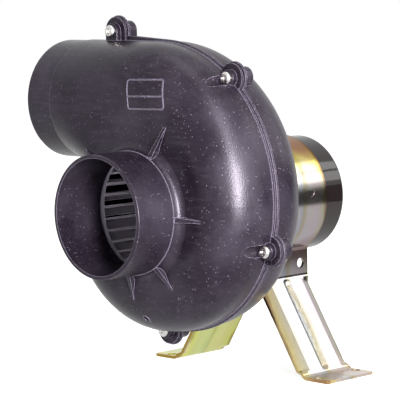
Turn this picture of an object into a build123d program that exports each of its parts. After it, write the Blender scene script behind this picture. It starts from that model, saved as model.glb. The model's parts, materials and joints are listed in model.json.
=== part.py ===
from build123d import *
import math
import os

# A small ducted blower fan. A squirrel-cage wheel turns in a moulded scroll of two shells,
# driven by a can motor that a bent steel strap holds by its waist and stands on two legs.
# Millimetres. The shaft lies along Y with the inlet at the front, towards -Y.
# The model is drawn with the centre of the inlet's mouth at zero, and moved at the end so that
# zero is on the floor, midway between the four holes of the feet.

# Air duct sizes
hose_diameter = 76.2
wall = 2.4
inlet_length = 34.0
outlet_length = 21.8
outlet_stop = 0.4
outlet_rise = 0.2
rim_round = 0.8
root_step = 0.4
root_radius = 5.6
root_sink = 0.1

# Scroll
volute_radius = 61.5
volute_step = 11.6
volute_shift_x = -9.6
volute_shift_z = 1.1
edge_radius = 30.0
tongue_gap = 2.4
tongue_drop = 39.0
tongue_radius = 3.0
duct_flat = 0.1

# Seam of the two shells, a low lip and a high lip with a dark gap between, and its lugs and screws
front_lip_height = 0.5
rear_lip_height = 1.3
lip_width = 1.5
lip_bevel = 0.4
seam_gap = 0.8
front_lug_radius = 9.1
rear_lug_radius = 10.0
front_boss_radius = 5.2
front_boss_height = 6.0
rear_boss_radius = 6.5
rear_boss_height = 11.0
boss_round = 0.8
case_screw_diameter = 4.0
case_screw_head = 8.0
case_screw_head_height = 2.6
case_screw_length = 14.0
screw_clearance = 0.4
thread_gap = 0.05

# Four lugs stand on the arcs of the scroll, each at its angle there, and one on top of the duct
arc_lugs = (("top", 50.0), ("right", -19.4), ("bottom", 264.1), ("bottom", 190.0))
arc_lug_offset = 1.3
head_pocket = 0.3
duct_lug_from_shaft = 54.9
duct_lug_offset = 6.1
duct_lip_height = 4.1
duct_lip_reach = 5.0

# Gusset ribs round the inlet: angle, outer radius and how far the tip follows the rounded face back
inlet_ribs = (
    (142.0, 63.0, 1.5), (63.7, 75.5, 3.6), (-2.6, 62.3, 2.6),
    (-57.7, 60.4, 3.1), (-95.8, 58.4, 1.9), (-148.0, 60.0, 2.8),
)
rib_height = 5.5
rib_width = 3.4
rib_tip_width = 0.8

# Bare nameplate on the upper face, a raised line round two fields, and a small moulded pit below
plate_corners = ((-6.0, 63.0), (26.0, 63.6), (21.0, 82.0), (-7.2, 81.4))
plate_divider = ((-6.6, 71.0), (23.9, 71.6))
plate_corner = 2.0
plate_line = 0.6
plate_height = 0.4
pit_place = (-0.2, -67.0)
pit_drop = 6.9
pit_radius = 1.7
pit_ring = 0.6
pit_depth = 0.8

# Wheel
wheel_diameter = 100.0
blade_depth = 11.5
wheel_gap = 2.9
wheel_rear_gap = 14.6
ring_thickness = 2.4
back_plate = 2.2
blade_count = 32
blade_thickness = 1.3
blade_lean = 1.5
blade_sweep = 8.0
hub_radius = 12.0
hub_length = 20.0
hub_cone_radius = 30.0
hub_cone_height = 9.0
insert_radius = 8.0
insert_inset = 1.0
set_screw_diameter = 4.0
set_screw_setback = 6.0

# Motor
shaft_diameter = 8.0
shaft_flat = 0.7
running_gap = 0.05
fit_gap = 0.05
gasket_thickness = 1.0
can_diameter = 75.0
can_wall = 1.6
can_length = 68.3
can_corner = 2.2
cap_flange = 4.0
cap_web = 5.0
cap_depth = 8.8
cap_rim = 2.8
pilot_radius = 15.0
bearing_diameter = 18.0
bearing_length = 9.0
bearing_lip = 1.6
bearing_pocket_wall = 3.0
rear_bearing_length = 6.0
washer_thickness = 0.8
washer_radius = 7.0
armature_diameter = 54.0
armature_length = 28.0
armature_slots = 12
slot_width = 4.0
slot_depth = 10.0
slot_mouth = 2.0
tooth_lip = 1.5
winding_gap = 0.2
winding_end = 6.0
commutator_diameter = 22.0
commutator_length = 11.0
commutator_gap = 0.3
commutator_bars = 12
air_gap = 0.8
magnet_angle = 120.0
magnet_overhang = 1.5
brush_plate_thickness = 2.0
brush_width = 6.0
brush_height = 5.0
brush_length = 12.0
brush_wear_gap = 0.15
brush_box_wall = 1.2
brush_fit = 0.1
spring_thickness = 0.4
spring_length = 4.0
tie_bolt_diameter = 4.0
tie_bolt_circle = 61.0
tie_bolt_head = 7.0
tie_bolt_head_height = 3.5
motor_screw_diameter = 4.0
motor_screw_circle = 50.0
motor_screw_head = 8.0
motor_screw_head_height = 2.6
motor_screw_length = 12.0
motor_screw_count = 3
screw_washer_radius = 5.0
screw_washer_thickness = 1.0
cap_boss_radius = 4.4

# Lead outlet in the side of the can
grommet_bore = 4.5
grommet_neck = 8.0
grommet_flange = 11.0
grommet_flange_thickness = 1.6
grommet_from_rear = 10.5
grommet_seat = 0.7

# Bracket
sheet = 1.9
bracket_width = 44.0
strap_from_rear = 19.3
strap_gap = 0.1
axis_height = 110.6
tab_outside = 21.8
strap_bend = 4.0
knee_drop = 51.4
knee_bend = 5.0
foot_line = 57.5
foot_bend = 5.0
foot_length = 20.0
foot_corner = 1.5
bracket_hole = 6.4
tab_hole_pitch = 30.6
foot_hole_pitch = 35.0
foot_hole_from_end = 11.5
margin_width = 7.5
margin_drop = 2.6
groove_width = 6.6
groove_depth = 1.8
form_runout = 3.5
dent_radius = 3.2
dent_depth = 0.4
dent_from_rear = 14.8
dent_height = 5.0

# Clamp bolt across the tabs
clamp_bolt_diameter = 6.0
clamp_head = 10.0
clamp_head_height = 4.0
clamp_nut_height = 5.0
clamp_tail = 3.0
clamp_washer_radius = 6.0
clamp_washer_thickness = 1.2

# Places worked out from the sizes above
hose_radius = hose_diameter / 2
scroll_depth = hose_diameter + 2 * outlet_stop
face_y = inlet_length
rear_y = face_y + scroll_depth
seam_y = face_y + scroll_depth / 2
centre_left = volute_shift_x - volute_step / 2
centre_right = volute_shift_x + volute_step / 2
centre_low = volute_shift_z - volute_step / 2
centre_high = volute_shift_z + volute_step / 2
ARC_CENTRES = {
    "top": (centre_left, centre_high),
    "right": (centre_right, centre_high),
    "bottom": (centre_right, centre_low),
    "left": (centre_left, centre_low),
}
ARC_ORDER = ("left", "bottom", "right", "top")
scroll_top = centre_high + volute_radius + (len(ARC_ORDER) - 1) * volute_step
scroll_left = centre_left - volute_radius
outlet_z = scroll_top + outlet_rise - hose_radius
duct_end_x = scroll_left - tongue_gap
outlet_x = duct_end_x - outlet_length
wheel_eye = wheel_diameter - 2 * blade_depth
wheel_front_y = face_y + wall + wheel_gap
wheel_rear_y = rear_y - wall - wheel_rear_gap
hub_front_y = wheel_rear_y - hub_length
insert_front_y = hub_front_y + insert_inset
insert_rear_y = wheel_rear_y - insert_inset
set_screw_y = insert_front_y + set_screw_setback
shaft_radius = shaft_diameter / 2
bore_radius = shaft_radius + fit_gap
can_radius = can_diameter / 2
can_bore = can_radius - can_wall
cap_front_y = rear_y + gasket_thickness
can_front_y = cap_front_y + cap_flange
cap_rear_y = cap_front_y + cap_depth
can_rear_y = can_front_y + can_length
can_floor_y = can_rear_y - can_wall
pilot_front_y = rear_y - wall
bearing_radius = bearing_diameter / 2
front_bearing_y = pilot_front_y + bearing_lip
rear_bearing_end = can_floor_y + rear_bearing_length
commutator_y = cap_rear_y + commutator_gap
armature_radius = armature_diameter / 2
winding_front_y = commutator_y + commutator_length + commutator_gap
core_front_y = winding_front_y + winding_end
core_rear_y = core_front_y + armature_length
winding_rear_y = core_rear_y + winding_end
brush_plate_rear = cap_rear_y + brush_plate_thickness
brush_centre_y = brush_plate_rear + brush_box_wall + brush_fit + brush_height / 2
strap_rear_y = can_rear_y - strap_from_rear
strap_front_y = strap_rear_y - bracket_width
bracket_y = strap_rear_y - bracket_width / 2
floor_z = -axis_height
tab_centre = tab_outside - sheet / 2
strap_radius = can_radius + strap_gap + sheet / 2
strap_bend_z = -math.sqrt((strap_radius + strap_bend) ** 2 - (tab_centre + strap_bend) ** 2)
tab_hole_z = (strap_bend_z - knee_drop) / 2
foot_hole_x = foot_line + foot_length - foot_hole_from_end
clamp_y = bracket_y - tab_hole_pitch / 2


# Drawing helpers. A sketch for a slab has X to the right and Z up, seen from the front.
def plane_at(y):
    return Plane((0, y, 0), x_dir=(1, 0, 0), z_dir=(0, -1, 0))


def slab(sketch, y_front, y_rear):
    return extrude(plane_at(y_front) * sketch, amount=y_front - y_rear)


def rod(radius, y_front, y_rear, x=0.0, z=0.0):
    return slab(Pos(x, z) * Circle(radius), y_front, y_rear)


def tube(outer, inner, y_front, y_rear):
    return slab(Circle(outer) - Circle(inner), y_front, y_rear)


def rod_along_x(radius, x_from, x_to, y, z):
    start = Plane((x_from, y, z), x_dir=(0, 1, 0), z_dir=(1, 0, 0))
    return extrude(start * Circle(radius), amount=x_to - x_from)


def turned(points):
    return revolve(make_face(Polyline(*points, close=True)), Axis.Y)


def turn(angle):
    return Rot(0, -angle, 0)


def around(radius, angle):
    return radius * math.cos(math.radians(angle)), radius * math.sin(math.radians(angle))


def solid_group(pieces):
    return Compound(children=[Solid(piece.solid().wrapped) for piece in pieces])


# Scroll
def arc_radius(arc, inset):
    return volute_radius + ARC_ORDER.index(arc) * volute_step - inset


def scroll_outline(inset):
    starts = {"top": 0, "right": -90, "bottom": 180, "left": 90}
    arcs = [CenterArc(ARC_CENTRES[arc], arc_radius(arc, inset), starts[arc], 90) for arc in starts]
    wheel_side = (centre_left, centre_low + arc_radius("left", inset))
    duct_side = (centre_left, centre_high + arc_radius("top", inset))
    return make_face(arcs + [Line(wheel_side, duct_side)])


def scroll_body(inset):
    body = slab(scroll_outline(inset), face_y + inset, rear_y - inset)
    rims = body.edges().filter_by(GeomType.CIRCLE)
    return fillet(rims, edge_radius - inset)


def duct_section(x, half_width, low, high, low_radius, high_radius):
    plane = Plane((x, seam_y, 0), x_dir=(0, 1, 0), z_dir=(1, 0, 0))
    corners = [(-half_width, low), (half_width, low), (half_width, high), (-half_width, high)]
    radii = [low_radius, low_radius, high_radius, high_radius]
    return plane * make_face(FilletPolyline(*corners, radius=radii, close=True))


def duct_body(inset):
    half_width = scroll_depth / 2 - inset
    low = centre_low + volute_radius - tongue_drop + inset
    start = duct_section(centre_left, half_width, low, scroll_top - inset,
                         tongue_radius, edge_radius - inset)
    corner = half_width - duct_flat
    end = duct_section(duct_end_x, half_width, outlet_z - half_width, outlet_z + half_width, corner, corner)
    return loft([start, end], ruled=True)


def outlet_rod(radius, past_mouth):
    return rod_along_x(radius, outlet_x - past_mouth, duct_end_x, seam_y, outlet_z)


def inlet_tube():
    root_start = hose_radius + root_step
    root_end = root_start + root_radius
    root_y = face_y + root_sink - root_radius
    flare = CenterArc((root_end, root_y), root_radius, 90, 90)
    rest = Polyline((root_start, root_y), (hose_radius, root_y), (hose_radius, 0), (0, 0),
                    (0, face_y + wall), (root_end, face_y + wall), (root_end, face_y + root_sink))
    tube_shape = revolve(make_face([flare, rest]), Axis.Y)
    return fillet(tube_shape.edges().group_by(Axis.Y)[0], rim_round)


def housing_outside():
    outlet = fillet(outlet_rod(hose_radius, 0).edges().group_by(Axis.X)[0], rim_round)
    return scroll_body(0) + duct_body(0) + inlet_tube() + outlet


def housing_inside():
    bore = hose_radius - wall
    inlet = rod(bore, -wall, face_y + 2 * wall)
    return scroll_body(wall) + duct_body(wall) + inlet + outlet_rod(bore, wall)


def lug_centres():
    places = [(-duct_lug_from_shaft, scroll_top + duct_lug_offset)]
    for arc, angle in arc_lugs:
        x, z = around(arc_radius(arc, 0) + arc_lug_offset, angle)
        places.append((ARC_CENTRES[arc][0] + x, ARC_CENTRES[arc][1] + z))
    return places


def lug_shapes(radius):
    web_height = duct_lug_offset + wall
    web = Pos(0, -web_height / 2) * Rectangle(2 * radius, web_height)
    duct_lug, *others = [Pos(x, z) for x, z in lug_centres()]
    return [duct_lug * (Circle(radius) + web)] + [place * Circle(radius) for place in others]


def seam_outline(height, duct_height, duct_reach, lug_radius):
    low = scroll_top - wall
    join = math.sqrt((arc_radius("top", 0) + height) ** 2 - duct_reach ** 2)
    strip = Polyline((-duct_lug_from_shaft, low), (-duct_lug_from_shaft, scroll_top + duct_height),
                     (centre_left + duct_reach, centre_high + join), (centre_left + duct_reach, low), close=True)
    return scroll_outline(-height) + make_face(strip) + lug_shapes(lug_radius)


def front_lip():
    y_rear = seam_y - seam_gap
    return slab(seam_outline(front_lip_height, front_lip_height, 0, front_lug_radius), y_rear - lip_width, y_rear)


def rear_lip():
    sections = []
    for y, cut in ((seam_y, lip_bevel), (seam_y + lip_bevel, 0)):
        outline = seam_outline(rear_lip_height - cut, duct_lip_height - cut, duct_lip_reach, rear_lug_radius - cut)
        sections.append(plane_at(y) * outline)
    full = slab(seam_outline(rear_lip_height, duct_lip_height, duct_lip_reach, rear_lug_radius),
                seam_y + lip_bevel, seam_y + lip_width)
    return loft(sections, ruled=True) + full


def inlet_rib(angle, tip_radius, tip_drop):
    root = hose_radius - wall / 2
    tip_y = face_y + tip_drop
    side = Polyline((root, face_y - rib_height), (tip_radius, tip_y), (tip_radius, tip_y + wall),
                    (root, face_y + wall / 2), close=True)
    blade = extrude(make_face(side), amount=rib_width, both=True)
    plan = Polyline((root, -rib_width / 2), (tip_radius, -rib_tip_width / 2),
                    (tip_radius, rib_tip_width / 2), (root, rib_width / 2), close=True)
    wedge = slab(make_face(plan), face_y - rib_height, tip_y + wall)
    return turn(angle) * (blade & wedge)


def nameplate():
    outer = make_face(FilletPolyline(*plate_corners, radius=plate_corner, close=True))
    frame = outer - offset(outer, -plate_line)
    divider = make_face(Line(*plate_divider).offset_2d(plate_line / 2))
    lines = slab(frame + (divider & outer), face_y - plate_height, face_y + edge_radius)
    return lines & scroll_body(-plate_height)


def pit_rim():
    rim = rod(pit_radius + pit_ring, face_y - plate_height, face_y + edge_radius, *pit_place)
    return rim & scroll_body(-plate_height)


def screw_pockets(radius):
    return [rod(radius, face_y, seam_y - front_boss_height, x, z) for x, z in lug_centres()]


def half_shell(shell, inside, y_front, y_rear, lip, bosses):
    reach = 4 * hose_diameter
    half = shell & slab(Rectangle(reach, reach), y_front, y_rear)
    half += lip - inside
    for boss in bosses:
        half += boss - inside
    return half


def seam_bosses(radius, y_front, y_rear, free_end):
    bosses = []
    for shape in lug_shapes(radius):
        boss = slab(shape, y_front, y_rear)
        rim = boss.edges().group_by(Axis.Y)[free_end].filter_by(GeomType.CIRCLE)
        bosses.append(fillet(rim, boss_round))
    return bosses


def front_shell():
    pocket = case_screw_head / 2 + head_pocket
    outside = housing_outside() + nameplate() + pit_rim()
    outside += [inlet_rib(*rib) for rib in inlet_ribs]
    inside = housing_inside() - screw_pockets(pocket + wall)
    bosses = seam_bosses(front_boss_radius, seam_y - front_boss_height, seam_y, 0)
    half = half_shell(outside - inside, inside, -wall, seam_y, front_lip(), bosses)
    half -= screw_pockets(pocket)
    half -= rod(pit_radius, face_y - wall, face_y + pit_drop + pit_depth, *pit_place)
    hole = (case_screw_diameter + screw_clearance) / 2
    for x, z in lug_centres():
        half -= rod(hole, seam_y - 2 * front_boss_height, seam_y + wall, x, z)
    return half


def rear_shell():
    inside = housing_inside()
    bosses = seam_bosses(rear_boss_radius, seam_y, seam_y + rear_boss_height, -1)
    half = half_shell(housing_outside() - inside, inside, seam_y, rear_y + wall, rear_lip(), bosses)
    depth = case_screw_length - front_boss_height + head_pocket
    for x, z in lug_centres():
        half -= rod(case_screw_diameter / 2 + thread_gap, seam_y - wall, seam_y + depth, x, z)
    half -= rod(pilot_radius + fit_gap, pilot_front_y - wall, rear_y + wall)
    for x, z in motor_screw_places():
        half -= rod((motor_screw_diameter + screw_clearance) / 2, pilot_front_y - wall, rear_y + wall, x, z)
    return half


# Fasteners
def cross_recess(size, depth, y):
    slot = Rectangle(size, size / 4)
    return slab(slot + Rot(0, 0, 90) * slot, y - depth, y + depth)


def pan_screw(head_radius, head_height, radius, length, y_seat, x, z):
    head = rod(head_radius, y_seat - head_height, y_seat)
    head = fillet(head.edges().group_by(Axis.Y)[0], head_height * 0.6)
    head -= cross_recess(head_radius, head_height / 2, y_seat - head_height)
    return Pos(x, 0, z) * (head + rod(radius, y_seat, y_seat + length))


def hex_bolt(across_flats, head_height, radius, length, y_seat):
    head = slab(RegularPolygon(across_flats / 2, 6, major_radius=False), y_seat, y_seat + head_height)
    return head + rod(radius, y_seat - length, y_seat)


def case_screws():
    seat = seam_y - front_boss_height
    return solid_group([pan_screw(case_screw_head / 2, case_screw_head_height, case_screw_diameter / 2,
                                  case_screw_length, seat, x, z) for x, z in lug_centres()])


def motor_screw_places():
    return [around(motor_screw_circle / 2, 360 * i / motor_screw_count) for i in range(motor_screw_count)]


def motor_screws():
    seat = pilot_front_y - screw_washer_thickness
    return solid_group([pan_screw(motor_screw_head / 2, motor_screw_head_height, motor_screw_diameter / 2,
                                  motor_screw_length, seat, x, z) for x, z in motor_screw_places()])


def motor_screw_washers():
    hole = (motor_screw_diameter + screw_clearance) / 2
    washer = tube(screw_washer_radius, hole, pilot_front_y - screw_washer_thickness, pilot_front_y)
    return solid_group([Pos(x, 0, z) * washer for x, z in motor_screw_places()])


def tie_bolt_places():
    return [around(tie_bolt_circle / 2, angle) for angle in (90, 270)]


def tie_bolts():
    length = can_rear_y - cap_front_y - cap_web / 4
    bolt = hex_bolt(tie_bolt_head, tie_bolt_head_height, tie_bolt_diameter / 2, length, can_rear_y)
    return solid_group([Pos(x, 0, z) * bolt for x, z in tie_bolt_places()])


# Wheel
def blade_sketch():
    middle = (wheel_diameter + wheel_eye) / 4
    stations = [(wheel_eye / 2, 0.0), (middle, blade_lean), (wheel_diameter / 2 - 0.4, blade_sweep)]
    sides = []
    for side in (-1, 1):
        points = []
        for radius, angle in stations:
            points.append(around(radius, angle + side * math.degrees(blade_thickness / 2 / radius)))
        sides.append(points)
    leading, trailing = sides
    return make_face([ThreePointArc(*leading), Line(leading[2], trailing[2]),
                      ThreePointArc(*trailing), Line(trailing[0], leading[0])])


def blower_wheel():
    outer = wheel_diameter / 2
    plate_front = wheel_rear_y - back_plate
    ring = tube(outer, wheel_eye / 2 - blade_thickness / 2, wheel_front_y, wheel_front_y + ring_thickness)
    ring = fillet(ring.edges().group_by(Axis.Y)[0], ring_thickness / 3)
    plate = turned([(0, plate_front - hub_cone_height), (hub_radius, plate_front - hub_cone_height),
                    (hub_cone_radius, plate_front), (outer, plate_front), (outer, wheel_rear_y),
                    (hub_cone_radius, wheel_rear_y),
                    (hub_radius, wheel_rear_y - hub_cone_height), (0, wheel_rear_y - hub_cone_height)])
    hub = rod(hub_radius, hub_front_y, wheel_rear_y)
    wheel = ring + plate + hub
    blade = slab(blade_sketch(), wheel_front_y + ring_thickness / 2, plate_front + back_plate / 2)
    wheel += [turn(360 * i / blade_count) * blade for i in range(blade_count)]
    wheel -= rod(insert_radius + fit_gap, insert_front_y, wheel_rear_y + wall)
    wheel -= rod(shaft_radius + screw_clearance, hub_front_y - wall, insert_front_y + wall)
    access = Pos(0, set_screw_y, hub_radius / 2) * Cylinder(set_screw_diameter / 2 + screw_clearance, hub_radius)
    return wheel - access


def wheel_insert():
    insert = tube(insert_radius, bore_radius, insert_front_y, insert_rear_y)
    tapped = Pos(0, set_screw_y, insert_radius / 2) * Cylinder(set_screw_diameter / 2 + thread_gap, insert_radius)
    return insert - tapped


def wheel_set_screw():
    seat = shaft_radius - shaft_flat + thread_gap
    length = insert_radius - seat
    screw = Pos(0, set_screw_y, seat + length / 2) * Cylinder(set_screw_diameter / 2, length)
    socket = extrude(Plane((0, set_screw_y, seat + length)) * RegularPolygon(1.0, 6), amount=-length / 3)
    return screw - socket


# Motor
def motor_shaft():
    nose = hub_front_y + insert_inset
    shaft = rod(shaft_radius, nose, rear_bearing_end - fit_gap)
    flat_rear = insert_rear_y
    cut = Pos(0, (nose + flat_rear) / 2, 2 * shaft_radius - shaft_flat)
    return shaft - cut * Box(2 * shaft_diameter, flat_rear - nose, shaft_diameter)


def motor_gasket():
    gasket = tube(can_radius, pilot_radius + fit_gap, rear_y, cap_front_y)
    for x, z in motor_screw_places():
        gasket -= rod((motor_screw_diameter + screw_clearance) / 2, rear_y - wall, cap_front_y + wall, x, z)
    return gasket


def front_end_cap():
    web_rear = cap_front_y + cap_web
    spigot = can_bore - fit_gap
    pocket = bearing_radius + fit_gap
    hub = pocket + bearing_pocket_wall
    lip = shaft_radius + 2 * screw_clearance
    cap = turned([(lip, pilot_front_y), (pilot_radius, pilot_front_y), (pilot_radius, cap_front_y),
                  (can_radius, cap_front_y), (can_radius, can_front_y), (spigot, can_front_y),
                  (spigot, cap_rear_y), (spigot - cap_rim, cap_rear_y), (spigot - cap_rim, web_rear),
                  (hub, web_rear), (hub, cap_rear_y), (pocket, cap_rear_y),
                  (pocket, front_bearing_y), (lip, front_bearing_y)])
    for x, z in motor_screw_places() + tie_bolt_places():
        cap += rod(cap_boss_radius, web_rear - cap_web / 2, cap_rear_y, x, z)
    for x, z in motor_screw_places():
        cap -= rod(motor_screw_diameter / 2 + thread_gap, cap_front_y - wall, cap_rear_y - cap_web / 5, x, z)
    for x, z in tie_bolt_places():
        cap -= rod(tie_bolt_diameter / 2 + thread_gap, cap_front_y + cap_web / 5, cap_rear_y + wall, x, z)
    return cap


def motor_can():
    outside = rod(can_radius, can_front_y, can_rear_y)
    outside = fillet(outside.edges().group_by(Axis.Y)[-1], can_corner)
    boss_rear = rear_bearing_end + can_wall
    boss = rod(bearing_radius + can_wall + fit_gap, can_floor_y, boss_rear)
    boss = fillet(boss.edges().group_by(Axis.Y)[-1], can_wall)
    inside = rod(can_bore, can_front_y - wall, can_floor_y)
    inside = fillet(inside.edges().group_by(Axis.Y)[-1], can_corner - can_wall)
    can = outside + boss - inside - rod(bearing_radius + fit_gap, can_floor_y - wall, rear_bearing_end)
    for x, z in tie_bolt_places():
        can -= rod((tie_bolt_diameter + screw_clearance) / 2, can_floor_y - wall, can_rear_y + wall, x, z)
    lead_hole = rod_along_x(grommet_neck / 2 + fit_gap, -2 * can_radius, 0, can_rear_y - grommet_from_rear, 0)
    return can - lead_hole


def bearing(y_front, y_rear):
    return tube(bearing_radius, shaft_radius + running_gap, y_front, y_rear)


def front_bearing():
    return bearing(front_bearing_y, front_bearing_y + bearing_length)


def rear_bearing():
    return bearing(can_floor_y, rear_bearing_end)


def thrust_washers():
    front = front_bearing_y + bearing_length + running_gap
    rear = can_floor_y - running_gap
    inner = shaft_radius + fit_gap
    return solid_group([tube(washer_radius, inner, front, front + washer_thickness),
                        tube(washer_radius, inner, rear - washer_thickness, rear)])


def slot_sketch(gap):
    bottom = armature_radius - slot_depth + gap
    top = armature_radius - tooth_lip - gap
    width = slot_width - 2 * gap
    return Pos((bottom + top) / 2, 0) * Rectangle(top - bottom, width)


def armature_core():
    core = Circle(armature_radius) - Circle(bore_radius)
    mouth = Pos(armature_radius - tooth_lip, 0) * Rectangle(2 * tooth_lip, slot_mouth)
    for i in range(armature_slots):
        core -= Rot(0, 0, 360 * i / armature_slots) * (slot_sketch(0) + mouth)
    return slab(core, core_front_y, core_rear_y)


def armature_windings():
    outer = armature_radius - tooth_lip - winding_gap
    inner = armature_radius - slot_depth + winding_gap
    windings = turned([(inner, winding_front_y), (outer - winding_gap, winding_front_y),
                       (outer, core_front_y - winding_gap), (inner, core_front_y - winding_gap)])
    windings += turned([(inner, winding_rear_y), (outer - winding_gap, winding_rear_y),
                        (outer, core_rear_y + winding_gap), (inner, core_rear_y + winding_gap)])
    bar = slab(slot_sketch(winding_gap), core_front_y - winding_end / 2, core_rear_y + winding_end / 2)
    windings += [turn(360 * i / armature_slots) * bar for i in range(armature_slots)]
    rim = tube(inner + winding_gap, bore_radius, core_rear_y + winding_gap, core_rear_y + winding_end / 2)
    return windings + rim


def commutator():
    radius = commutator_diameter / 2
    body = Circle(radius) - Circle(bore_radius)
    for i in range(commutator_bars):
        groove = Pos(radius, 0) * Rectangle(radius / 8, radius / 14)
        body -= Rot(0, 0, 360 * i / commutator_bars) * groove
    return slab(body, commutator_y, commutator_y + commutator_length)


def field_magnets():
    inner = armature_radius + air_gap
    outer = can_bore - fit_gap
    half = magnet_angle / 2
    magnets = []
    for middle in (0, 180):
        arcs = [CenterArc((0, 0), outer, middle - half, magnet_angle),
                CenterArc((0, 0), inner, middle - half, magnet_angle)]
        ends = [Line(around(inner, middle + s * half), around(outer, middle + s * half)) for s in (-1, 1)]
        shape = make_face(arcs + ends)
        magnets.append(slab(shape, core_front_y - magnet_overhang, core_rear_y + magnet_overhang))
    return solid_group(magnets)


def brush_plate():
    plate = tube(can_bore - fit_gap, commutator_diameter / 2 + 2 * commutator_gap,
                 cap_rear_y, brush_plate_rear)
    for x, z in tie_bolt_places():
        plate -= rod((tie_bolt_diameter + screw_clearance) / 2, cap_rear_y - wall, brush_plate_rear + wall, x, z)
    return plate


def brush_front_x():
    return commutator_diameter / 2 + brush_wear_gap


def brush_box(side):
    length = brush_length + spring_length
    box_front = brush_front_x() + brush_height / 2
    middle = side * (box_front + length / 2)
    size_y = brush_height + 2 * (brush_fit + brush_box_wall)
    size_z = brush_width + 2 * (brush_fit + brush_box_wall)
    body = Pos(middle, brush_centre_y, 0) * Box(length, size_y, size_z)
    inner_length = length - brush_box_wall
    inner = Pos(side * (box_front + inner_length / 2 - brush_box_wall / 2), brush_centre_y, 0)
    return body - inner * Box(inner_length + brush_box_wall, brush_height + 2 * brush_fit,
                              brush_width + 2 * brush_fit)


def brush_holders():
    return solid_group([brush_box(side) for side in (-1, 1)])


def carbon_brushes():
    middle = brush_front_x() + brush_length / 2
    block = Box(brush_length, brush_height, brush_width)
    pieces = [Pos(side * middle, brush_centre_y, 0) * block for side in (-1, 1)]
    face = rod(brush_front_x(), brush_plate_rear, brush_centre_y + brush_height)
    return solid_group([piece - face for piece in pieces])


def brush_springs():
    start = brush_front_x() + brush_length + spring_thickness / 2
    end = brush_front_x() + brush_height / 2 + brush_length + spring_length - brush_box_wall
    folds = 4
    pitch = (end - start - spring_thickness) / folds
    reach = brush_width / 2 - 2 * spring_thickness
    points = [(start + i * pitch, reach * (-1) ** i) for i in range(folds + 1)]
    strip = plane_at(brush_centre_y - brush_height / 4) * trace(Polyline(*points), spring_thickness)
    spring = extrude(strip, amount=-brush_height / 2)
    return solid_group([spring, Rot(0, 180, 0) * spring])


def lead_grommet():
    neck_start = math.sqrt(can_bore ** 2 - (grommet_flange / 2) ** 2) - fit_gap
    inner_end = neck_start - grommet_flange_thickness
    outer_start = can_radius + fit_gap
    outer_end = outer_start + grommet_flange_thickness
    bore, neck, flange = grommet_bore / 2, grommet_neck / 2, grommet_flange / 2
    profile = Polyline((-outer_end, bore), (-outer_end, flange - grommet_seat), (-outer_start, flange),
                       (-outer_start, neck), (-neck_start, neck), (-neck_start, flange),
                       (-inner_end, flange - grommet_seat), (-inner_end, bore), close=True)
    return Pos(0, can_rear_y - grommet_from_rear, 0) * revolve(make_face(profile), Axis.X)


# Bracket
def leg_corners():
    sheet_z = floor_z + sheet / 2
    return [(tab_centre, strap_bend_z), (tab_centre, -knee_drop), (foot_line, sheet_z),
            (foot_line + foot_length, sheet_z)]


def leg_line():
    return FilletPolyline(*leg_corners(), radius=[knee_bend, foot_bend])


def strap_section():
    centre = (tab_centre + strap_bend, strap_bend_z)
    start = math.degrees(math.atan2(centre[1], centre[0]))
    strap = CenterArc((0, 0), strap_radius, start, 180 - 2 * start)
    bend = CenterArc(centre, strap_bend, 180 + start, -start)
    right = Curve() + [bend, leg_line()]
    left = mirror(right, about=Plane.YZ)
    path = Wire(strap.edges() + right.edges() + left.edges())
    halves = [make_face(path.offset_2d(sheet / 2, side=side, closed=True)) for side in (Side.LEFT, Side.RIGHT)]
    return halves[0] + halves[1]


def leg_frame():
    top, bottom = leg_corners()[1:3]
    along = Vector(bottom[0] - top[0], 0, bottom[1] - top[1]).normalized()
    outward = Vector(-along.Z, 0, along.X)
    return top, bottom, along, outward


def leg_trim(bend, turn_angle):
    return bend * math.tan(math.radians(turn_angle) / 2)


def formed_leg():
    top, bottom, along, outward = leg_frame()
    length = math.dist(top, bottom)
    lean = math.degrees(math.atan2(along.X, -along.Z))
    start = leg_trim(knee_bend, lean)
    end = length - leg_trim(foot_bend, 90 - lean)
    half = bracket_width / 2
    flat_half = half - margin_width
    groove = groove_width / 2
    sections = []
    for distance, drop, dip in ((start, 0, 0), (start + form_runout, margin_drop, groove_depth),
                                (end - form_runout, margin_drop, groove_depth), (end, 0, 0)):
        outer = [(-half, -drop), (-flat_half, 0), (-groove, 0), (0, -dip), (groove, 0),
                 (flat_half, 0), (half, -drop)]
        inner = [(across, height - sheet) for across, height in reversed(outer)]
        origin = Vector(top[0], bracket_y, top[1]) + along * distance + outward * (sheet / 2)
        plane = Plane(origin, x_dir=(0, 1, 0), z_dir=along)
        sections.append(plane * make_face(Polyline(*(outer + inner), close=True)))
    return loft(sections, ruled=True), start, end


def leg_gap(start, end):
    top, _, along, _ = leg_frame()
    centre = Vector(top[0], bracket_y, top[1]) + along * ((start + end) / 2)
    plane = Plane(centre, x_dir=(0, 1, 0), z_dir=along)
    block = extrude(plane * Rectangle(2 * bracket_width, 4 * sheet), amount=(end - start) / 2, both=True)
    return block


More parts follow.
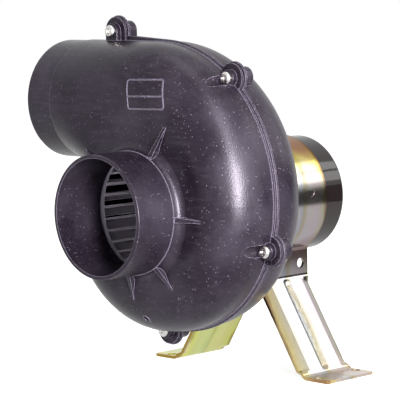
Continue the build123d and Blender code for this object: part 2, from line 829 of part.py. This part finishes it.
def mounting_bracket():
    strip = slab(strap_section(), strap_front_y, strap_rear_y)
    leg, start, end = formed_leg()
    gap = leg_gap(start, end)
    for side in (leg, mirror(leg, about=Plane.YZ)):
        cut = gap if side is leg else mirror(gap, about=Plane.YZ)
        strip = strip - cut + side
    ends = strip.edges().filter_by(Axis.Z).sort_by(Axis.X)
    strip = fillet(ends[:2] + ends[-2:], foot_corner)
    for side in (-1, 1):
        tab_y = bracket_y + side * tab_hole_pitch / 2
        foot_y = bracket_y + side * foot_hole_pitch / 2
        strip -= rod_along_x(bracket_hole / 2, -2 * tab_outside, 2 * tab_outside, tab_y, tab_hole_z)
        for x in (-foot_hole_x, foot_hole_x):
            strip -= Pos(x, foot_y, floor_z) * Cylinder(bracket_hole / 2, 4 * sheet)
    dent_floor = strap_radius + sheet / 2 - dent_depth
    return strip - rod_along_x(dent_radius, dent_floor, dent_floor + sheet, strap_rear_y - dent_from_rear,
                               dent_height)


def clamp_stack():
    washer_out = tab_outside + clamp_washer_thickness
    return washer_out, washer_out + clamp_nut_height + clamp_tail


def clamp_bolt():
    seat, tail = clamp_stack()
    head_plane = Plane((-seat - clamp_head_height, clamp_y, tab_hole_z), x_dir=(0, 1, 0), z_dir=(1, 0, 0))
    hexagon = RegularPolygon(clamp_head / 2, 6, major_radius=False)
    head = extrude(head_plane * hexagon, amount=clamp_head_height)
    return head + rod_along_x(clamp_bolt_diameter / 2, -seat, tail, clamp_y, tab_hole_z)


def clamp_nut():
    seat, _ = clamp_stack()
    plane = Plane((seat, clamp_y, tab_hole_z), x_dir=(0, 1, 0), z_dir=(1, 0, 0))
    hexagon = RegularPolygon(clamp_head / 2, 6, major_radius=False)
    shape = hexagon - Circle(clamp_bolt_diameter / 2 + thread_gap)
    return extrude(plane * shape, amount=clamp_nut_height)


def clamp_washers():
    shape = Circle(clamp_washer_radius) - Circle((clamp_bolt_diameter + screw_clearance) / 2)
    pieces = []
    for x in (-tab_outside - clamp_washer_thickness, tab_outside):
        plane = Plane((x, clamp_y, tab_hole_z), x_dir=(0, 1, 0), z_dir=(1, 0, 0))
        pieces.append(extrude(plane * shape, amount=clamp_washer_thickness))
    return solid_group(pieces)


PARTS = [
    front_shell, rear_shell, case_screws, blower_wheel, wheel_insert, wheel_set_screw,
    motor_shaft, motor_gasket, front_end_cap, motor_can, front_bearing, rear_bearing,
    thrust_washers, armature_core, armature_windings, commutator, field_magnets,
    brush_plate, brush_holders, carbon_brushes, brush_springs, tie_bolts, motor_screws,
    motor_screw_washers, lead_grommet, mounting_bracket, clamp_bolt, clamp_nut, clamp_washers,
]

os.makedirs("parts", exist_ok=True)
to_floor = Pos(0, -bracket_y, axis_height)
for make_part in PARTS:
    export_step(to_floor * make_part(), f"parts/{make_part.__name__}.step")
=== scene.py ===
import json
import math

import bpy
from mathutils import Matrix, Vector


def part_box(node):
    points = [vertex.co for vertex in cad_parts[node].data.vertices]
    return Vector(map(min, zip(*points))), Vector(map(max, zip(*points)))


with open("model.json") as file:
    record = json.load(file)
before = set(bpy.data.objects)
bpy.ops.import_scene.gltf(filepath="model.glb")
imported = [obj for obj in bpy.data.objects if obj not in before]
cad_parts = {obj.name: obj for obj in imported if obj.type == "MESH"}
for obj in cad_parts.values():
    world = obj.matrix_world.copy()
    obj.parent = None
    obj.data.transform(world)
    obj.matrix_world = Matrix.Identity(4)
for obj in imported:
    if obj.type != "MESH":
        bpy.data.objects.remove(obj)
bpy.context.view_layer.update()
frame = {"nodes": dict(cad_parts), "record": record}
nodes = frame["nodes"]
record = frame["record"]

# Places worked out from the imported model, in metres
mount_places = {mount["name"]: Vector(mount["pos_m"]) for mount in record["mounts"]}
shaft_height = mount_places["inlet_spigot"].z
inlet_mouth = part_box("front_shell")[0].y
bracket_low, bracket_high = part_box("mounting_bracket")

# Camera: seen from the front right, a little above the shaft, from the far end of a long lens
CAMERA_AZIMUTH = math.radians(45.14)
CAMERA_ELEVATION = math.radians(6.12)
CAMERA_ROLL = math.radians(-1.05)
CAMERA_DISTANCE = 1.31087
TARGET_RIGHT_OF_SHAFT = 0.00901
TARGET_BEHIND_MOUTH = 0.080
TARGET_ABOVE_SHAFT = 0.0041
CAMERA_TARGET = Vector((
    TARGET_RIGHT_OF_SHAFT,
    inlet_mouth + TARGET_BEHIND_MOUTH,
    shaft_height + TARGET_ABOVE_SHAFT,
))
CAMERA_LENS = 188.72
SENSOR_WIDTH = 36.0

# Pale floor and white backdrop, and the rays that see them brighter than they light the object
WHITE = (1.0, 1.0, 1.0, 1.0)
BACKGROUND = 1.0
CAMERA_RAYS = ("Is Camera Ray",)
MIRROR_RAYS = ("Is Glossy Ray", "Is Transmission Ray")
FLOOR_SIZE = 6.0
FLOOR_DROP = 0.0002
FLOOR_COLOR = (0.6, 0.6, 0.6, 1.0)
FLOOR_LIFT = 0.8
WORLD_FILL = 0.35

# Softboxes: name, azimuth from the front towards the right, elevation, width and height in degrees, and
# brightness, where 1 is as bright as the white background
SOFTBOXES = (
    ("window_low", 147.0, 20.0, 20.0, 11.0, 3.0),
    ("window_high", 147.0, 33.5, 20.0, 11.0, 3.0),
    ("side_wall", 92.0, 8.0, 44.0, 50.0, 3.9),
    ("front_fill", 34.0, 4.0, 22.0, 22.0, 5.0),
)
SOFTBOX_DISTANCE = 1.25

# Strip lights along an arch that stands to the right of the camera and leans back over the object:
# name, angle up the arch, length along it in degrees and brightness
ARCH_AZIMUTH = 64.0
STRIP_WIDTH = 7.0
STRIPS = (
    ("strip_low", 4.0, 36.0, 230.0),
    ("strip_high", 42.0, 34.0, 36.0),
    ("strip_top", 88.0, 50.0, 4.0),
)

# A dark flag on the floor behind on the right, seen only in the gloss of the motor and the bracket
FLAG_AZIMUTH = 138.0
FLAG_DISTANCE = 0.5
FLAG_WIDTH = 0.5
FLAG_HEIGHT = 0.19
FLAG_COLOR = (0.03, 0.03, 0.03, 1.0)


def link(obj):
    bpy.context.scene.collection.objects.link(obj)
    return obj


# A turn that points an object's local Z from the target back to its own place, with its Y upwards
def aimed(location, target, roll=0.0):
    back = (location - target).normalized()
    right = Vector((0, 0, 1)).cross(back).normalized()
    up = back.cross(right)
    turned = Matrix.Rotation(roll, 3, back)
    return Matrix((turned @ right, turned @ up, back)).transposed().to_4x4()


# Unit vector towards an azimuth, from the front towards the right, and an elevation
def direction(azimuth, elevation):
    return Vector((
        math.sin(azimuth) * math.cos(elevation),
        -math.cos(azimuth) * math.cos(elevation),
        math.sin(elevation),
    ))


def add_camera():
    place = CAMERA_TARGET + direction(CAMERA_AZIMUTH, CAMERA_ELEVATION) * CAMERA_DISTANCE
    data = bpy.data.cameras.new("camera")
    data.lens = CAMERA_LENS
    data.sensor_width = SENSOR_WIDTH
    camera = link(bpy.data.objects.new("camera", data))
    camera.matrix_world = Matrix.Translation(place) @ aimed(place, CAMERA_TARGET, CAMERA_ROLL)
    bpy.context.scene.camera = camera


def add_lamp(name, turned, distance, width, height, brightness):
    data = bpy.data.lights.new(name, "AREA")
    data.shape = "RECTANGLE"
    data.size = 2 * distance * math.tan(math.radians(width) / 2)
    data.size_y = 2 * distance * math.tan(math.radians(height) / 2)
    data.energy = brightness * math.pi * data.size * data.size_y
    lamp = link(bpy.data.objects.new(name, data))
    lamp.visible_camera = False
    place = CAMERA_TARGET + turned.to_3x3() @ Vector((0.0, 0.0, distance))
    lamp.matrix_world = Matrix.Translation(place) @ turned


def add_softbox(name, azimuth, elevation, width, height, brightness):
    back = direction(math.radians(azimuth), math.radians(elevation))
    add_lamp(name, aimed(back, Vector()), SOFTBOX_DISTANCE, width, height, brightness)


def add_strip(name, angle, length, brightness):
    foot = direction(math.radians(ARCH_AZIMUTH), 0.0)
    side = foot.cross(Vector((0, 0, -1)))
    lean = Matrix.Rotation(-math.radians(angle), 3, side)
    back = lean @ foot
    turned = Matrix((side, back.cross(side), back)).transposed().to_4x4()
    add_lamp(name, turned, SOFTBOX_DISTANCE, STRIP_WIDTH, length, brightness)


def add_flag():
    mesh = bpy.data.meshes.new("flag")
    half = FLAG_WIDTH / 2
    corners = [(-half, 0, 0), (half, 0, 0), (half, 0, FLAG_HEIGHT), (-half, 0, FLAG_HEIGHT)]
    mesh.from_pydata(corners, [], [(0, 1, 2, 3)])
    flag = link(bpy.data.objects.new("flag", mesh))
    flag.location = direction(math.radians(FLAG_AZIMUTH), 0.0) * FLAG_DISTANCE
    flag.rotation_euler.z = math.radians(FLAG_AZIMUTH)
    for ray in ("camera", "diffuse", "shadow", "transmission"):
        setattr(flag, "visible_" + ray, False)
    material = bpy.data.materials.new("black_flag")
    tree = empty_tree(material)
    cloth = add(tree, "ShaderNodeBsdfDiffuse", {"Color": FLAG_COLOR})
    add(tree, "ShaderNodeOutputMaterial", {"Surface": cloth.outputs[0]})
    mesh.materials.append(material)


# Shader helpers. A socket given as an input is linked, anything else is set as the socket's value.
def add(tree, kind, inputs=None, **settings):
    node = tree.nodes.new(kind)
    for key, value in settings.items():
        setattr(node, key, value)
    for key, value in (inputs or {}).items():
        if isinstance(value, bpy.types.NodeSocket):
            tree.links.new(value, node.inputs[key])
        else:
            node.inputs[key].default_value = value
    return node


def empty_tree(owner):
    owner.use_nodes = True
    owner.node_tree.nodes.clear()
    return owner.node_tree


# A shader that is shown to the given kinds of ray and plain to all others
def seen_by(tree, rays, plain, shown):
    path = add(tree, "ShaderNodeLightPath")
    total = path.outputs[rays[0]]
    for ray in rays[1:]:
        total = math_node(tree, "MAXIMUM", total, path.outputs[ray])
    return add(tree, "ShaderNodeMixShader", {0: total, 1: plain, 2: shown}).outputs[0]


def add_world():
    world = bpy.data.worlds.new("studio")
    bpy.context.scene.world = world
    tree = empty_tree(world)
    fill = add(tree, "ShaderNodeBackground", {"Color": WHITE, "Strength": WORLD_FILL})
    white = add(tree, "ShaderNodeBackground", {"Color": WHITE, "Strength": BACKGROUND})
    shown = seen_by(tree, CAMERA_RAYS + MIRROR_RAYS, fill.outputs[0], white.outputs[0])
    add(tree, "ShaderNodeOutputWorld", {"Surface": shown})


def add_floor():
    mesh = bpy.data.meshes.new("floor")
    half = FLOOR_SIZE / 2
    corners = [(-half, -half, 0), (half, -half, 0), (half, half, 0), (-half, half, 0)]
    mesh.from_pydata(corners, [], [(0, 1, 2, 3)])
    floor = link(bpy.data.objects.new("floor", mesh))
    floor.location.z = -FLOOR_DROP
    material = bpy.data.materials.new("pale_floor")
    tree = empty_tree(material)
    matte = add(tree, "ShaderNodeBsdfDiffuse", {"Color": FLOOR_COLOR})
    white = add(tree, "ShaderNodeEmission", {"Color": WHITE, "Strength": BACKGROUND})
    lift = add(tree, "ShaderNodeEmission", {"Color": WHITE, "Strength": FLOOR_LIFT})
    lifted = add(tree, "ShaderNodeAddShader", {0: matte.outputs[0], 1: lift.outputs[0]})
    mirrored = seen_by(tree, MIRROR_RAYS, matte.outputs[0], white.outputs[0])
    shown = seen_by(tree, CAMERA_RAYS, mirrored, lifted.outputs[0])
    add(tree, "ShaderNodeOutputMaterial", {"Surface": shown})
    mesh.materials.append(material)


def shader(name):
    material = bpy.data.materials.new(name)
    tree = empty_tree(material)
    place = add(tree, "ShaderNodeTexCoord").outputs["Object"]
    surface = add(tree, "ShaderNodeBsdfPrincipled")
    add(tree, "ShaderNodeOutputMaterial", {"Surface": surface.outputs[0]})
    return material, tree, place, surface


def stretched(tree, place, stretch):
    return add(tree, "ShaderNodeMapping", {"Vector": place, "Scale": stretch}).outputs[0]


def noise(tree, place, scale, detail=3.0):
    return add(tree, "ShaderNodeTexNoise", {"Vector": place, "Scale": scale, "Detail": detail}).outputs["Fac"]


def ramp(tree, factor, stops):
    node = add(tree, "ShaderNodeValToRGB", {"Fac": factor})
    elements = node.color_ramp.elements
    while len(elements) < len(stops):
        elements.new(0.5)
    for element, (position, color) in zip(elements, stops):
        element.position = position
        element.color = (*color, 1.0)
    return node.outputs["Color"]


def spread(tree, value, low, high, new_low, new_high):
    inputs = {"Value": value, "From Min": low, "From Max": high, "To Min": new_low, "To Max": new_high}
    return add(tree, "ShaderNodeMapRange", inputs).outputs["Result"]


def blend(tree, factor, first, second, mode="MIX"):
    node = add(tree, "ShaderNodeMix", {0: factor}, data_type="RGBA", blend_type=mode)
    for socket, color in (("A", first), ("B", second)):
        target = [item for item in node.inputs if item.name == socket and item.type == "RGBA"][0]
        if isinstance(color, bpy.types.NodeSocket):
            tree.links.new(color, target)
        else:
            target.default_value = (*color, 1.0)
    return [item for item in node.outputs if item.type == "RGBA"][0]


def bump(tree, height, strength, distance):
    inputs = {"Height": height, "Strength": strength, "Distance": distance}
    return add(tree, "ShaderNodeBump", inputs).outputs["Normal"]


def math_node(tree, operation, first, second):
    return add(tree, "ShaderNodeMath", {0: first, 1: second}, operation=operation).outputs[0]


def brighter(color, gain):
    return tuple(gain * part for part in color)


def give(tree, surface, color, roughness, normal, **plain):
    for name, socket in (("Base Color", color), ("Roughness", roughness), ("Normal", normal)):
        tree.links.new(socket, surface.inputs[name])
    for name, value in plain.items():
        surface.inputs[name.replace("_", " ")].default_value = value


# Moulded plastic. Lengths are in metres and scales in waves per metre.
GRAIN_SCALE = 1500.0
GRAIN_DEPTH = 0.0004
GRAIN_STRENGTH = 0.25
CLOUD_SCALE = 28.0
SCUFF_SCALES = (60.0, 500.0, 500.0)
SPECK_SCALE = 620.0
SPECKS_LEFT_OUT = (0.58, 0.62)
EDGE_WIDTH = 0.0006
HAZE = 0.32
SCUFFS = 0.2
# Edge gain: brightness of the painted edge highlights over the pale colour
EDGE_HIGHLIGHT_GAIN = 4.0
# Speck gain: brightness of the painted glints over the pale colour
GLINT_GAIN = 5.0
PLASTIC_ROUGHNESS = (0.23, 0.34)
PLASTIC_GLOSS = 0.22
PLASTIC_SHEEN = (0.93, 0.86, 1.0, 1.0)


# How near a point is to a sharp edge, from 0 on a flat to 1 on the edge itself, the mask of painted edge
# highlights
def painted_edge_highlight_mask(tree, width):
    rounded = add(tree, "ShaderNodeBevel", {"Radius": width}).outputs["Normal"]
    flat = add(tree, "ShaderNodeNewGeometry").outputs["Normal"]
    turn = add(tree, "ShaderNodeVectorMath", {0: rounded, 1: flat}, operation="DOT_PRODUCT")
    return spread(tree, turn.outputs["Value"], 0.99, 0.80, 0.0, 1.0)


# Pale dots of painted glint, of which only the cells with a high random value are kept
def painted_glint_specks(tree, place, size):
    cells = add(tree, "ShaderNodeTexVoronoi", {"Vector": place, "Scale": SPECK_SCALE}).outputs
    dot = spread(tree, cells["Distance"], size, size * 0.5, 0.0, 1.0)
    chance = add(tree, "ShaderNodeSeparateColor", {0: cells["Color"]}).outputs[0]
    return math_node(tree, "MULTIPLY", dot, spread(tree, chance, *SPECKS_LEFT_OUT, 0.0, 1.0))


# Moulded plastic with a fine grain, pale specks of painted glint, long soft scuffs, a haze and painted
# highlights on its sharp edges
def moulded_plastic(name, color, pale, speck_size):
    material, tree, place, surface = shader(name)
    grain = noise(tree, place, GRAIN_SCALE, 4.0)
    cloud = noise(tree, place, CLOUD_SCALE, 5.0)
    scuffs = noise(tree, stretched(tree, place, SCUFF_SCALES), 1.0, 4.0)
    haze = spread(tree, cloud, 0.42, 0.72, 0.0, HAZE)
    worn = math_node(tree, "ADD", spread(tree, scuffs, 0.5, 0.8, 0.0, SCUFFS), haze)
    shade = blend(tree, worn, color, pale)
    # Painted highlights along the sharp edges
    edge_highlighted = blend(tree, painted_edge_highlight_mask(tree, EDGE_WIDTH), shade, brighter(pale, EDGE_HIGHLIGHT_GAIN))
    # Painted glints in pale specks
    dust_and_painted_glints = blend(tree, painted_glint_specks(tree, place, speck_size), edge_highlighted, brighter(pale, GLINT_GAIN))
    rough = spread(tree, cloud, 0.3, 0.7, *PLASTIC_ROUGHNESS)
    normal = bump(tree, grain, GRAIN_STRENGTH, GRAIN_DEPTH)
    give(tree, surface, dust_and_painted_glints, rough, normal, Specular_IOR_Level=PLASTIC_GLOSS, Specular_Tint=PLASTIC_SHEEN)
    return material


# One finish of fine noise between two colours, with its roughness and bump from the same noise
FINISH_BUMP = 0.0003


def plain_finish(name, first, second, metallic, roughness, scale, stretch=(1.0, 1.0, 1.0), strength=0.1):
    material, tree, place, surface = shader(name)
    pattern = noise(tree, stretched(tree, place, stretch), scale, 5.0)
    color = ramp(tree, pattern, ((0.3, first), (0.7, second)))
    rough = spread(tree, pattern, 0.3, 0.7, roughness * 0.8, roughness * 1.2)
    give(tree, surface, color, rough, bump(tree, pattern, strength, FINISH_BUMP), Metallic=metallic)
    return material


# Gloss enamel with the faint waviness of a painted pressing and a little fine dust
ENAMEL_WAVE_SCALE = 90.0
ENAMEL_DUST_SCALE = 900.0
ENAMEL_DUST_GAIN = 3.0
ENAMEL_ROUGHNESS = (0.05, 0.14)
ENAMEL_GLOSS = 0.4


def enamel(name, color):
    material, tree, place, surface = shader(name)
    wave = noise(tree, place, ENAMEL_WAVE_SCALE, 2.0)
    dust = noise(tree, place, ENAMEL_DUST_SCALE, 3.0)
    dust_and_painted_glints = spread(tree, dust, 0.55, 0.8, 0.0, 0.4)
    tone = blend(tree, dust_and_painted_glints, color, brighter(color, ENAMEL_DUST_GAIN))
    rough = spread(tree, dust, 0.3, 0.8, *ENAMEL_ROUGHNESS)
    give(tree, surface, tone, rough, bump(tree, wave, 0.06, 0.001), Specular_IOR_Level=ENAMEL_GLOSS)
    return material


# Colours of the passivated zinc with painted reflection and painted shade in them: up the strip from its
# feet, and across it from its front edge, each with its share of the way. The dark band part way up, the
# brown top and the bright and brown bands near the edges stand partly for what the strip reflects, over the
# passivation's own colour.
# The left leg starts to the left of a place in metres, and has its own tint.
LEFT_LEG_START = -0.025
LEFT_LEG_FULL = -0.045
LEFT_LEG_TINT = (0.66, 0.70, 0.27)
ZINC_DRIFT = 0.05
ZINC_ROUGHNESS = (0.14, 0.24)
ZINC_UPWARD_TINT_AND_PAINTED_LIGHT = (
    (0.00, (0.76, 0.66, 0.57)),
    (0.10, (0.50, 0.48, 0.46)),
    (0.42, (0.46, 0.44, 0.46)),
    (0.47, (0.24, 0.18, 0.18)),
    (0.54, (0.24, 0.18, 0.18)),
    (0.59, (0.42, 0.39, 0.41)),
    (0.83, (0.48, 0.46, 0.44)),
    (0.90, (0.68, 0.58, 0.19)),
    (0.95, (0.36, 0.19, 0.09)),
    (1.00, (0.28, 0.14, 0.06)),
)
ZINC_ACROSS_TINT_AND_PAINTED_LIGHT = (
    (0.00, (0.50, 0.32, 0.16)),
    (0.06, (0.98, 0.86, 0.42)),
    (0.17, (0.92, 0.88, 0.66)),
    (0.26, (0.82, 0.82, 0.82)),
    (0.42, (0.84, 0.86, 0.88)),
    (0.49, (0.70, 0.76, 0.84)),
    (0.55, (0.70, 0.66, 0.46)),
    (0.64, (0.84, 0.83, 0.82)),
    (0.85, (0.86, 0.78, 0.82)),
    (0.95, (0.78, 0.78, 0.60)),
    (1.00, (0.45, 0.32, 0.20)),
)


# Zinc plate whose yellow passivation changes colour up the strip, across its width and on its left leg; the
# bands up and across the strip also hold painted reflection and painted shade
def passivated_zinc_and_painted_light(name):
    material, tree, place, surface = shader(name)
    split = add(tree, "ShaderNodeSeparateXYZ", {0: place}).outputs
    drift = spread(tree, noise(tree, place, 24.0, 2.0), 0.3, 0.7, -ZINC_DRIFT, ZINC_DRIFT)
    across = spread(tree, split["Y"], bracket_low.y, bracket_high.y, 0.0, 1.0)
    upward = spread(tree, split["Z"], bracket_low.z, bracket_high.z, 0.0, 1.0)
    # The bands up and across the strip mix the passivation's colour with painted reflection and painted shade
    bands_and_painted_light = ramp(tree, math_node(tree, "ADD", across, drift), ZINC_ACROSS_TINT_AND_PAINTED_LIGHT)
    heights_and_painted_light = ramp(tree, math_node(tree, "ADD", upward, drift), ZINC_UPWARD_TINT_AND_PAINTED_LIGHT)
    left = spread(tree, split["X"], LEFT_LEG_START, LEFT_LEG_FULL, 0.0, 1.0)
    tint_and_painted_light = blend(tree, 1.0, blend(tree, left, heights_and_painted_light, LEFT_LEG_TINT), bands_and_painted_light, "MULTIPLY")
    fine = noise(tree, stretched(tree, place, (1.0, 12.0, 1.0)), 260.0, 4.0)
    rough = spread(tree, fine, 0.3, 0.7, *ZINC_ROUGHNESS)
    give(tree, surface, tint_and_painted_light, rough, bump(tree, fine, 0.06, 0.0004), Metallic=1.0)
    return material


# Plain finishes: two colours, metallic, roughness and scale of the noise, and where they differ from
# the usual also how far the noise is stretched along each axis and the strength of its bump
PLAIN_FINISHES = {
    "bright_steel": ((0.72, 0.70, 0.68), (0.56, 0.54, 0.53), 1.0, 0.22, 900.0),
    "black_steel": ((0.05, 0.05, 0.055), (0.09, 0.09, 0.095), 1.0, 0.40, 700.0),
    "turned_brass": ((0.72, 0.52, 0.22), (0.60, 0.42, 0.17), 1.0, 0.28, 600.0),
    "black_rubber": ((0.022, 0.021, 0.022), (0.040, 0.038, 0.040), 0.0, 0.70, 500.0),
    "bearing_bronze": ((0.45, 0.30, 0.14), (0.36, 0.24, 0.12), 1.0, 0.45, 1500.0),
    "white_nylon": ((0.78, 0.76, 0.70), (0.70, 0.68, 0.61), 0.0, 0.45, 400.0),
    "lamination_steel": ((0.34, 0.34, 0.36), (0.20, 0.20, 0.22), 1.0, 0.45, 1.0, (60.0, 2400.0, 60.0), 0.4),
    "copper_wire": ((0.62, 0.24, 0.09), (0.42, 0.14, 0.05), 1.0, 0.30, 1.0, (1100.0, 80.0, 1100.0), 0.5),
    "copper_bar": ((0.75, 0.36, 0.20), (0.62, 0.28, 0.15), 1.0, 0.30, 1.0, (60.0, 1500.0, 60.0), 0.2),
    "ferrite": ((0.055, 0.055, 0.060), (0.085, 0.085, 0.090), 0.0, 0.60, 900.0),
    "brown_board": ((0.26, 0.13, 0.05), (0.19, 0.09, 0.035), 0.0, 0.55, 300.0),
    "carbon": ((0.030, 0.030, 0.032), (0.060, 0.060, 0.062), 0.0, 0.50, 1200.0),
    "yellow_zinc_bolt": ((0.74, 0.62, 0.34), (0.62, 0.56, 0.46), 1.0, 0.26, 160.0),
}
# Moulded plastics: colour, pale colour and size of the specks as a share of their spacing
PLASTICS = {
    "housing_plastic": ((0.0060, 0.0042, 0.0072), (0.036, 0.031, 0.042), 0.16),
    # The wheel's black plastic gets a far lighter colour than the housing's: painted light for the light that
    # hardly reaches it inside the scroll
    "wheel_plastic": ((0.28, 0.25, 0.31), (0.36, 0.33, 0.38), 0.08),
}
PAINT_COLOR = (0.005, 0.0035, 0.0035)


def make_materials():
    made = {name: plain_finish(name, *finish) for name, finish in PLAIN_FINISHES.items()}
    made.update({name: moulded_plastic(name, *plastic) for name, plastic in PLASTICS.items()})
    made["black_paint"] = enamel("black_paint", PAINT_COLOR)
    made["yellow_zinc"] = passivated_zinc_and_painted_light("yellow_zinc")
    return made


def dress_nodes(materials):
    for entry in record["subparts"]:
        mesh = nodes[entry["node"]].data
        mesh.materials.clear()
        mesh.materials.append(materials[entry["material_slot"]])


add_camera()
add_world()
add_floor()
add_flag()
for softbox in SOFTBOXES:
    add_softbox(*softbox)
for strip in STRIPS:
    add_strip(*strip)
dress_nodes(make_materials())

bpy.context.scene.view_settings.view_transform = "Standard"
